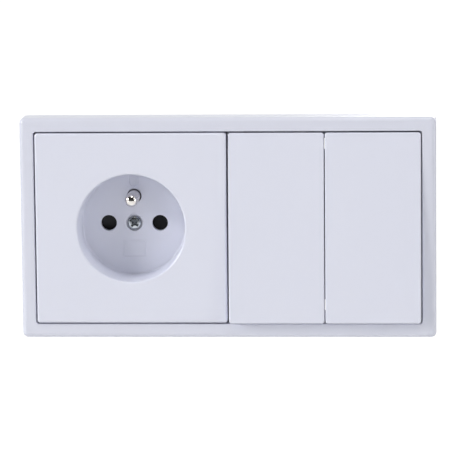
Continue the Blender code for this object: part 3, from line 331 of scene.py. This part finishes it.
def spun(bm, points, centre=(0, 0), steps=64):
    # turns (radius, depth) points about an axis along Y
    verts = [bm.verts.new((centre[0] + radius, depth, centre[1])) for radius, depth in points]
    edges = [bm.edges.new(pair) for pair in zip(verts, verts[1:])]
    bmesh.ops.spin(bm, geom=verts + edges, cent=(centre[0], 0, centre[1]), axis=(0, 1, 0), dvec=(0, 0, 0),
                   angle=2 * math.pi, steps=steps, use_merge=True)


def nodeBox(node):
    low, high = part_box(node)
    return Vector(low) / mm, Vector(high) / mm


def closeSeams(bm):
    bmesh.ops.remove_doubles(bm, verts=bm.verts, dist=weld)
    bmesh.ops.recalc_face_normals(bm, faces=bm.faces)


def meshFrom(bm, name):
    mesh = bpy.data.meshes.new(name)
    bm.to_mesh(mesh)
    bm.free()
    return mesh


def pieceFrom(bm, name, surface, body="root", stands=(), angle=sharpAngle):
    bmesh.ops.scale(bm, vec=(mm, mm, mm), verts=bm.verts)
    mesh = meshFrom(bm, name)
    mesh.shade_smooth()
    mesh.set_sharp_from_angle(angle=angle)
    mesh.materials.append(surfaces[surface])
    piece = bpy.data.objects.new(name, mesh)
    bpy.context.scene.collection.objects.link(piece)
    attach(piece, body)
    if stands:
        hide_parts(*stands)
    return piece


def carve(bm, *tools):
    # subtracts closed tools from a closed shape
    scene = bpy.context.scene.collection
    closeSeams(bm)
    body = bpy.data.objects.new("body", meshFrom(bm, "body"))
    scene.objects.link(body)
    used = [body]
    for tool in tools:
        closeSeams(tool)
        helper = bpy.data.objects.new("tool", meshFrom(tool, "tool"))
        scene.objects.link(helper)
        used.append(helper)
        cutter = body.modifiers.new("carve", "BOOLEAN")
        cutter.object = helper
        cutter.operation = "DIFFERENCE"
    bpy.context.view_layer.update()
    graph = bpy.context.evaluated_depsgraph_get()
    result = bmesh.new()
    result.from_mesh(body.evaluated_get(graph).data)
    for thing in used:
        bpy.data.objects.remove(thing)
    return result


# Cover frame

# the frame's surface is the covers' white darkened as painted shade
frameLook = {"edge": 1.75, "corner": 2.0, "innerCorner": 1.0, "leastCorner": 0.4, "backBevel": 0.15,
             "mouth": 0.3, "gap": 0.12, "wall": 2.0, "lip": 1.6, "ledge": 2.5, "ledgeFront": -3.0,
             "ledgeBack": -1.5, "ledgeLift": 0.01, "ledgeCorner": 3.0, "roof": 2.0, "rib": 1.2,
             "ribBack": -2.0, "ribEdge": 0.15, "overlap": 0.2, "surface": "shadedFrameWhite"}


def coverFrame():
    look = frameLook
    low, high = nodeBox("cover_frame")
    halfX, halfZ, face = high.x, high.z, low.y
    border = halfZ - gangPitch / 2 - look["gap"]
    corner, inner, least = look["corner"], look["innerCorner"], look["leastCorner"]
    bm = bmesh.new()

    def loop(inset, y, radius):
        return squareLoop(bm, halfX - inset, halfZ - inset, y, radius)

    loops = [loop(look["backBevel"], 0, corner), loop(0, -look["backBevel"], corner)]
    for inward, forward in roundOver(look["edge"], 7):
        loops.append(loop(inward, face + forward, max(corner - inward * 0.8, least)))
    loops.append(loop(look["edge"] + sliver, face, least))
    mouth = look["mouth"]
    loops.append(loop(border - mouth - sliver, face, inner))
    for inward, forward in reversed(roundOver(mouth, 3)):
        loops.append(loop(border - inward, face + forward, inner))
    lipOut = border - look["lip"]
    roof = face + look["roof"]
    loops += [loop(border, look["ledgeBack"], inner), loop(lipOut, look["ledgeBack"], inner),
              loop(lipOut, roof, inner), loop(look["wall"], roof, inner), loop(look["wall"], 0, inner)]
    loft(bm, loops, closed=True)
    ledgeOut = border - look["lip"] / 2
    holeHalf = gangPitch / 2 - look["ledge"]
    rims = []
    for y in (look["ledgeFront"], look["ledgeBack"] - look["ledgeLift"]):
        outer = squareLoop(bm, halfX - ledgeOut, halfZ - ledgeOut, y, inner)
        holes = [squareLoop(bm, holeHalf, holeHalf, y, look["ledgeCorner"], (x, 0))
                 for x in (socketX, switchX)]
        flatFill(bm, outer, *holes)
        rims.append([outer] + holes)
    for first, second in zip(*rims):
        loft(bm, [first, second])
    halfRib, overlap = look["rib"] / 2, look["overlap"]
    for column in range(-2, 3):
        middle = column * gangPitch / 2
        for side in (-1, 1):
            z = sorted((side * (halfZ - look["wall"] + overlap), side * (halfZ - lipOut - overlap)))
            shellBox(bm, (middle - halfRib, middle + halfRib), (roof - overlap, look["ribBack"]), z,
                     look["ribEdge"])
    closeSeams(bm)
    return pieceFrom(bm, "coverFrame", look["surface"], stands=["cover_frame"])


# Socket cover with its cup

coverLook = {"half": 35.1, "corner": 1.0, "leastCorner": 0.35, "edge": 0.8, "wall": 2.0, "plate": 2.5,
             "back": -3.3, "rim": 19.85, "floor": 19.4, "depth": 15.0, "rimRound": 0.7,
             "floorRound": 0.8, "cupWall": 1.6, "floorThick": 2.0, "liveOffset": 9.5,
             "liveHole": 2.9, "earthOffset": 10.0, "earthHole": 2.65, "chamfer": 0.15,
             "headHole": 3.0, "headChamfer": 0.08, "shankHole": 1.8, "seat": 0.8, "panel": (8.7, 6.3),
             "panelBelow": 9.5, "panelBorder": 0.6, "panelDepth": 0.17, "panelSlope": 0.06,
             "panelCorners": (0.5, 0.45, 0.35, 0.3), "notchHalf": 1.85, "notchSpan": (13.5, 18.2),
             "notchSteps": ((0, 0), (0.1, 0.1), (0.15, 0.4)), "surface": "glossyWhite"}


def socketCover():
    look = coverLook
    face = nodeBox("socket_cover")[0].y
    centre = (socketX, 0)
    half, edge, corner = look["half"], look["edge"], look["corner"]
    bm = bmesh.new()

    def square(size, y, radius):
        return squareLoop(bm, size, size, y, radius, centre)

    def circle(radius, y, at=(0, 0), steps=96):
        return roundLoop(bm, radius, y, (socketX + at[0], at[1]), steps)

    outside = [square(half, look["back"], corner)]
    for inward, forward in roundOver(edge):
        outside.append(square(half - inward, face + forward, max(corner - inward * 0.7, look["leastCorner"])))
    outside.append(square(half - edge - sliver, face, look["leastCorner"]))
    loft(bm, outside)
    rimRound, floorRound = look["rimRound"], look["floorRound"]
    floorY = face + look["depth"]
    cup = [circle(look["rim"] + rimRound + sliver, face)]
    for inward, forward in reversed(roundOver(rimRound, 6)):
        cup.append(circle(look["rim"] + inward, face + forward))
    flatFill(bm, outside[-1], cup[0])
    for inward, forward in roundOver(floorRound):
        cup.append(circle(look["floor"] - inward, floorY - forward))
    cup.append(circle(look["floor"] - floorRound - sliver, floorY))
    loft(bm, cup)
    backY = floorY + look["floorThick"]
    mouths, tails = [], []

    def through(at, steps, *sections):
        # a stepped hole from the floor to its back, each section a (radius, depth)
        loops = [circle(radius, y, at, steps) for radius, y in sections]
        loft(bm, loops)
        mouths.append(loops[0])
        tails.append(loops[-1])

    def plainHole(at, radius):
        chamfer = look["chamfer"]
        through(at, 40, (radius + chamfer, floorY), (radius, floorY + chamfer), (radius, backY))

    for side in (-1, 1):
        plainHole((side * look["liveOffset"], 0), look["liveHole"])
    plainHole((0, look["earthOffset"]), look["earthHole"])
    seatY, head, shank = backY - look["seat"], look["headHole"], look["shankHole"]
    through((0, 0), 40, (head + look["headChamfer"], floorY), (head, floorY + look["headChamfer"]),
            (head, seatY), (shank, seatY), (shank, backY))
    width, height = look["panel"]
    border, slope, corners = look["panelBorder"], look["panelSlope"], look["panelCorners"]
    deep = floorY + look["panelDepth"]

    def panel(inset, y, radius):
        return squareLoop(bm, width / 2 - inset, height / 2 - inset, y, radius,
                          (socketX, -look["panelBelow"]), 4)

    grooveTop, grooveLow = panel(0, floorY, corners[0]), panel(slope, deep, corners[1])
    islandLow, islandTop = panel(border - slope, deep, corners[2]), panel(border, floorY, corners[3])
    loft(bm, [grooveTop, grooveLow])
    loft(bm, [islandLow, islandTop])
    flatFill(bm, grooveLow, islandLow)
    flatFill(bm, islandTop)
    mouths.append(grooveTop)
    bottom, top = look["notchSpan"]

    def notchLoop(inset, depth):
        # flat at the top and half round at the bottom
        radius = look["notchHalf"] - inset
        points = [(-radius, top - inset), (radius, top - inset)]
        for i in range(13):
            a = math.pi * i / 12
            points.append((radius * math.cos(a), bottom + look["notchHalf"] - radius * math.sin(a)))
        return drawnLoop(bm, [(socketX + x, floorY + depth, z) for x, z in points])

    notch = [notchLoop(*step) for step in look["notchSteps"]]
    loft(bm, notch)
    flatFill(bm, notch[-1])
    mouths.append(notch[0])
    flatFill(bm, cup[-1], *mouths)
    under = face + look["plate"]
    behind = [circle(look["floor"], backY), circle(look["floor"] + look["cupWall"], backY - look["cupWall"]),
              circle(look["rim"] + look["cupWall"], under)]
    flatFill(bm, behind[0], *tails)
    loft(bm, behind)
    inside = [square(half - look["wall"], under, corner), square(half - look["wall"], look["back"], corner)]
    flatFill(bm, behind[-1], inside[0])
    loft(bm, inside + [outside[0]])
    closeSeams(bm)
    return pieceFrom(bm, "socketCover", look["surface"], stands=["socket_cover"])


# Rockers

rockerLook = {"half": 17.5, "halfLength": 35.0, "face": -12.45, "back": -5.5, "edge": 0.5, "corner": 0.9,
              "leastCorner": 0.3, "innerCorner": 0.6, "backBevel": 0.2, "plate": 2.0, "wall": 1.6,
              "pivot": -6.0, "tilt": -3.3, "notch": (2.1, 4.3, -9.2), "notchEdge": 0.3, "leg": 2.2,
              "legEnd": -8.1, "legZ": 8.6, "cradle": (2.15, 19.1), "ribZ": 21, "rib": (1.2, 2.0),
              "ribEdge": 0.15, "overlap": 0.3, "drop": 0.25, "inward": 0.07, "surface": "glossyWhite"}


def rocker(word, side):
    look = rockerLook
    centre = (switchX + side * (gangPitch / 4 - look["inward"]), -look["drop"])
    half, long, edge, face = look["half"], look["halfLength"], look["edge"], look["face"]
    bm = bmesh.new()

    def loop(inset, y, radius):
        return squareLoop(bm, half - inset, long - inset, y, radius, centre)

    under, back, bevel = face + look["plate"], look["back"], look["backBevel"]
    loops = [loop(look["wall"], under, look["innerCorner"]), loop(look["wall"], back, look["innerCorner"]),
             loop(bevel, back, look["corner"]), loop(0, back - bevel, look["corner"])]
    for inward, forward in roundOver(edge, 6):
        loops.append(loop(inward, face + forward, max(look["corner"] - inward * 0.7, look["leastCorner"])))
    loops.append(loop(edge + sliver, face, look["leastCorner"]))
    loft(bm, loops)
    flatFill(bm, loops[0])
    flatFill(bm, loops[-1])
    reach, halfNotch, roof = look["notch"]
    tool = bmesh.new()
    shellBox(tool, (switchX - reach, switchX + reach), (roof, 0), (-halfNotch, halfNotch), look["notchEdge"])
    bm = carve(bm, tool)
    near, far = look["cradle"]
    leg, ribEdge, root = look["leg"], look["ribEdge"], under - look["overlap"]
    for legX in (near + 2 * leg, far - 2 * leg):
        for legZ in (-look["legZ"], look["legZ"]):
            x = switchX + side * legX
            shellBox(bm, (x - leg / 2, x + leg / 2), (root, look["legEnd"]),
                     (legZ - leg / 2, legZ + leg / 2), ribEdge)
    ribWidth, ribHeight = look["rib"]
    span = half - look["wall"] / 2
    for ribZ in (-look["ribZ"], look["ribZ"]):
        shellBox(bm, (centre[0] - span, centre[0] + span), (root, under + ribHeight),
                 (ribZ - ribWidth / 2, ribZ + ribWidth / 2), ribEdge)
    turn = Matrix.Rotation(math.radians(look["tilt"]), 3, "X")
    bmesh.ops.rotate(bm, cent=(0, look["pivot"], 0), matrix=turn, verts=bm.verts)
    name = "rocker" + word.capitalize()
    return pieceFrom(bm, name, look["surface"], f"rocker_{word}_assembly", [f"rocker_{word}"])


# Earth pin and cover screw

pinLook = {"radius": 2.4, "z": 10.0, "dome": 2.2, "flange": 3.4, "flangeThick": 1.0, "flangeEdge": 0.15,
           "flangeBack": 3.4, "tail": 1.7, "rivet": ((2.6, 0.8), (2.5, 0.3), (2.0, 0)),
           "surface": "polishedNickel"}


def earthPin():
    look = pinLook
    low, high = nodeBox("earth_pin")
    tip, back = low.y, high.y
    radius, wide, thick, bevel = look["radius"], look["flange"], look["flangeThick"], look["flangeEdge"]
    points = [(0, tip)]
    for i in range(1, 15):
        a = math.pi / 2 * i / 14
        points.append((radius * math.sin(a), tip + look["dome"] * (1 - math.cos(a))))
    flange = back - look["flangeBack"]
    points += [(radius, flange), (wide - bevel, flange), (wide, flange + bevel),
               (wide, flange + thick - bevel), (wide - bevel, flange + thick),
               (look["tail"], flange + thick), (look["tail"], back - look["rivet"][0][1])]
    points += [(size, back - before) for size, before in look["rivet"]] + [(0, back)]
    bm = bmesh.new()
    spun(bm, points, (socketX, look["z"]), 72)
    closeSeams(bm)
    return pieceFrom(bm, "earthPin", look["surface"], stands=["earth_pin"])


# the recess and the steep head rim take a darker steel as painted shade, from a set depth below the head's
# top
screwLook = {"head": 2.45, "headHeight": 1.1, "crown": ((0.45, 0.02), (0.78, 0.12), (0.93, 0.28), (1, 0.5)),
             "headEdge": 0.1, "shank": 1.4, "pitch": 0.6, "thread": 0.22, "threadFrom": 1.5, "tip": 1.0,
             "recess": 0.9, "reach": 1.8, "recessDepth": 0.85, "recessEdge": 0.12, "recessTurn": 40,
             "pit": 1.05, "pitWaist": 0.55, "shadeFrom": 0.16, "steep": 0.75,
             "surface": "screwSteel", "recessSurface": "recessShadeSteel"}


def threadPoints(radius, depth, pitch, start, end):
    # zigzag that reads as a thread when it is turned
    count = max(2, int(abs(end - start) / pitch))
    points = []
    for i in range(count):
        base = start + (end - start) * i / count
        step = (end - start) / count
        points += [(radius - depth, base), (radius, base + step * 0.5)]
    points.append((radius - depth, end))
    return points


def coverScrew():
    look = screwLook
    low, high = nodeBox("cover_screw")
    top, end = low.y, high.y
    seat = top + look["headHeight"]
    head, shank = look["head"], look["shank"]
    points = [(0, top)] + [(head * share, top + deep) for share, deep in look["crown"]]
    points += [(head, seat - look["headEdge"]), (head - look["headEdge"], seat), (shank, seat)]
    points += threadPoints(shank, look["thread"], look["pitch"], seat + look["threadFrom"], end - look["tip"])
    points += [(shank / 2, end), (0, end)]
    bm = bmesh.new()
    spun(bm, points, (socketX, 0), 48)
    above, depth = top - 1, top + look["recessDepth"]
    half, reach = look["recess"] / 2, look["reach"]
    slots = []
    for quarter in (0, 90):
        slot = bmesh.new()
        shellBox(slot, (-reach, reach), (above, depth), (-half, half), look["recessEdge"])
        turn = Matrix.Rotation(math.radians(look["recessTurn"] + quarter), 3, "Y")
        bmesh.ops.rotate(slot, cent=(0, 0, 0), matrix=turn, verts=slot.verts)
        bmesh.ops.translate(slot, vec=(socketX, 0, 0), verts=slot.verts)
        slots.append(slot)
    pit = bmesh.new()
    spun(pit, [(0, above), (look["pit"], above), (look["pit"], top + 0.1),
               (look["pit"] * look["pitWaist"], depth), (0, depth)], (socketX, 0), 32)
    bm = carve(bm, *slots, pit)
    piece = pieceFrom(bm, "coverScrew", look["surface"], stands=["cover_screw"])
    piece.data.materials.append(surfaces[look["recessSurface"]])
    for face in piece.data.polygons:
        # painted shade: the recess and the steep rim of the head take a darker steel standing in for the
        # shade that falls in them
        x, y, z = face.center / mm
        below = top + look["shadeFrom"] < y < seat - 0.05
        inside = math.hypot(x - socketX, z) < reach + 0.1
        if below and (inside or abs(face.normal.y) < look["steep"]):
            face.material_index = 1
    return piece


# Pieces that keep the shape of their CAD node, with fine rounded edges

def refined(node, surface, width=0.12, steps=2, angle=40):
    source = frame["nodes"][node]
    bm = bmesh.new()
    bm.from_mesh(source.data)
    bmesh.ops.scale(bm, vec=(1 / mm, 1 / mm, 1 / mm), verts=bm.verts)
    bmesh.ops.remove_doubles(bm, verts=bm.verts, dist=weld)
    bmesh.ops.dissolve_limit(bm, angle_limit=math.radians(1.5), verts=bm.verts, edges=bm.edges)
    if width:
        sharp = [edge for edge in bm.edges
                 if edge.is_manifold and edge.calc_face_angle(0) > math.radians(angle)]
        bmesh.ops.bevel(bm, geom=sharp, offset=width, segments=steps, profile=0.5, affect="EDGES",
                        clamp_overlap=True, material=-1)
    words = node.split("_")
    name = words[0] + "".join(word.capitalize() for word in words[1:])
    body = [key for key, nodes in frame["record"]["behaviour"]["bodies"].items() if node in nodes][0]
    piece = pieceFrom(bm, name, surface, body, [node], math.radians(50))
    if width:
        piece.modifiers.new("faceWeight", "WEIGHTED_NORMAL").keep_sharp = True
    return piece


keptShapes = {
    "zincPlate": ["socket_ring", "switch_ring"],
    "baseResin": ["socket_base", "switch_base", "contact_cover", "cradle_left", "cradle_right"],
    "blackResin": ["socket_shutter", "plunger_left", "plunger_right"],
    "rolledBrass": ["earth_strap", "live_contact_left", "live_contact_right", "feed_bridge",
                    "output_contact_left", "output_contact_right",
                    "contact_lever_left", "contact_lever_right"],
    "screwSteel": ["live_terminal_screw_left", "live_terminal_screw_right", "earth_terminal_screw",
                   "feed_terminal_screw", "output_terminal_screw_left", "output_terminal_screw_right"],
}
coverFrame()
print("cover frame ready")
socketCover()
print("socket cover ready")
for rockerWord, rockerSide in (("left", -1), ("right", 1)):
    rocker(rockerWord, rockerSide)
print("rockers ready")
earthPin()
coverScrew()
for surfaceName, nodeNames in keptShapes.items():
    for nodeName in nodeNames:
        refined(nodeName, surfaceName)
for nodeName in ("shutter_spring", "plunger_spring_left", "plunger_spring_right"):
    refined(nodeName, "screwSteel", width=0)
print("inner pieces ready")


# Camera at the photograph's angle

cameraLook = {"place": (76.5 * mm, -1258.8 * mm, 182.0 * mm), "turn": (81.756, 0.595, 3.45),
              "lens": 274.94}


def photoCamera():
    data = bpy.data.cameras.new("photoCamera")
    data.sensor_width = 36
    data.lens = cameraLook["lens"]
    data.clip_start = 0.01
    camera = bpy.data.objects.new("photoCamera", data)
    camera.location = cameraLook["place"]
    camera.rotation_euler = [math.radians(angle) for angle in cameraLook["turn"]]
    bpy.context.scene.collection.objects.link(camera)
    bpy.context.scene.camera = camera


# Pale floor, backdrop and soft lights

lightLook = {
    "keyLeft": {"place": (-2.1, -1.3, 0.9), "size": (0.7, 0.7), "power": 25.0},
    "keyGraze": {"place": (-2.3, -0.62, 0.7), "size": (0.6, 0.6), "power": 13.5},
    "leftLow": {"place": (-1.6, -1.5, -0.2), "size": (0.6, 0.6), "power": 1.5},
    "farRight": {"place": (2.5, -1.0, 0.2), "size": (0.8, 0.6), "power": 12.0},
    "rightHigh": {"place": (1.6, -1.1, 1.0), "size": (0.5, 0.5), "power": 3.0},
    "topGraze": {"place": (0.3, -0.75, 2.2), "size": (0.9, 0.5), "power": 14.0},
    "front": {"place": (0.1, -1.5, 0.2), "size": (0.6, 0.5), "power": 1.9},
    "sparkle": {"place": (1.0, -0.35, 0.95), "size": (0.25, 0.25), "power": 0.5},
    "rear": {"place": (0.5, 1.3, 0.7), "size": (1.0, 1.0), "power": 12.0},
}
hiddenInReflections = ("front",)
worldLook = {"fill": 0.215, "around": 0.85, "front": 0.04, "frontSpan": (-0.66, -0.42),
             "frontLean": -0.5}
floorLook = {"z": -0.45, "half": 6.0, "back": 1.0, "colour": (0.80, 0.80, 0.80, 1), "roughness": 0.9,
             "specular": 0.1, "lift": 0.9, "mirrored": 0.45}


def softLight(name, look):
    data = bpy.data.lights.new(name, "AREA")
    data.shape = "RECTANGLE"
    data.size, data.size_y = look["size"]
    data.energy = look["power"]
    lamp = bpy.data.objects.new(name, data)
    lamp.location = look["place"]
    lamp.rotation_euler = (-Vector(look["place"])).to_track_quat("-Z", "Y").to_euler()
    lamp.visible_glossy = name not in hiddenInReflections
    bpy.context.scene.collection.objects.link(lamp)


def paleWorld():
    world = bpy.data.worlds.new("paleWorld")
    bpy.context.scene.world = world
    world.use_nodes = True
    tree = world.node_tree
    background = tree.nodes["Background"]
    path = addNode(tree, "ShaderNodeLightPath")
    place = addNode(tree, "ShaderNodeTexCoord")
    split = addNode(tree, "ShaderNodeSeparateXYZ")
    tree.links.new(place.outputs["Generated"], split.inputs["Vector"])
    front = addNode(tree, "ShaderNodeMapRange", interpolation_type="SMOOTHSTEP")
    front.inputs["From Min"].default_value, front.inputs["From Max"].default_value = worldLook["frontSpan"]
    front.inputs["To Min"].default_value = worldLook["front"]
    front.inputs["To Max"].default_value = worldLook["around"]
    lean = mathNode(tree, "MULTIPLY", split.outputs["Z"], worldLook["frontLean"])
    tree.links.new(mathNode(tree, "ADD", split.outputs["Y"], lean), front.inputs["Value"])
    glossy = mathNode(tree, "MAXIMUM", path.outputs["Is Glossy Ray"], path.outputs["Is Transmission Ray"])
    studio = addNode(tree, "ShaderNodeMix", data_type="FLOAT")
    tree.links.new(glossy, studio.inputs[0])
    studio.inputs[2].default_value = worldLook["fill"]
    tree.links.new(front.outputs["Result"], studio.inputs[3])
    seen = addNode(tree, "ShaderNodeMix", data_type="FLOAT")
    tree.links.new(path.outputs["Is Camera Ray"], seen.inputs[0])
    tree.links.new(studio.outputs[0], seen.inputs[2])
    seen.inputs[3].default_value = 1.0
    background.inputs["Color"].default_value = (1, 1, 1, 1)
    tree.links.new(seen.outputs[0], background.inputs["Strength"])


def paleFloor():
    look = floorLook
    bm = bmesh.new()
    bmesh.ops.create_grid(bm, x_segments=1, y_segments=1, size=look["half"],
                          matrix=Matrix.Translation((0, look["back"], look["z"])))
    mesh = bpy.data.meshes.new("paleFloor")
    bm.to_mesh(mesh)
    bm.free()
    material = bpy.data.materials.new("palePaper")
    material.use_nodes = True
    tree = material.node_tree
    shader = tree.nodes["Principled BSDF"]
    shader.inputs["Base Color"].default_value = look["colour"]
    shader.inputs["Roughness"].default_value = look["roughness"]
    shader.inputs["Specular IOR Level"].default_value = look["specular"]
    path = addNode(tree, "ShaderNodeLightPath")
    direct = mathNode(tree, "MULTIPLY", path.outputs["Is Camera Ray"], look["lift"])
    glossy = mathNode(tree, "MAXIMUM", path.outputs["Is Glossy Ray"], path.outputs["Is Transmission Ray"])
    lift = mathNode(tree, "ADD", direct, mathNode(tree, "MULTIPLY", glossy, look["mirrored"]))
    shader.inputs["Emission Color"].default_value = (1, 1, 1, 1)
    tree.links.new(lift, shader.inputs["Emission Strength"])
    mesh.materials.append(material)
    floor = bpy.data.objects.new("paleFloor", mesh)
    bpy.context.scene.collection.objects.link(floor)


photoCamera()
for lampName, lampLook in lightLook.items():
    softLight(lampName, lampLook)
paleWorld()
paleFloor()
bpy.context.scene.view_settings.view_transform = "Standard"
print("camera and lights ready")
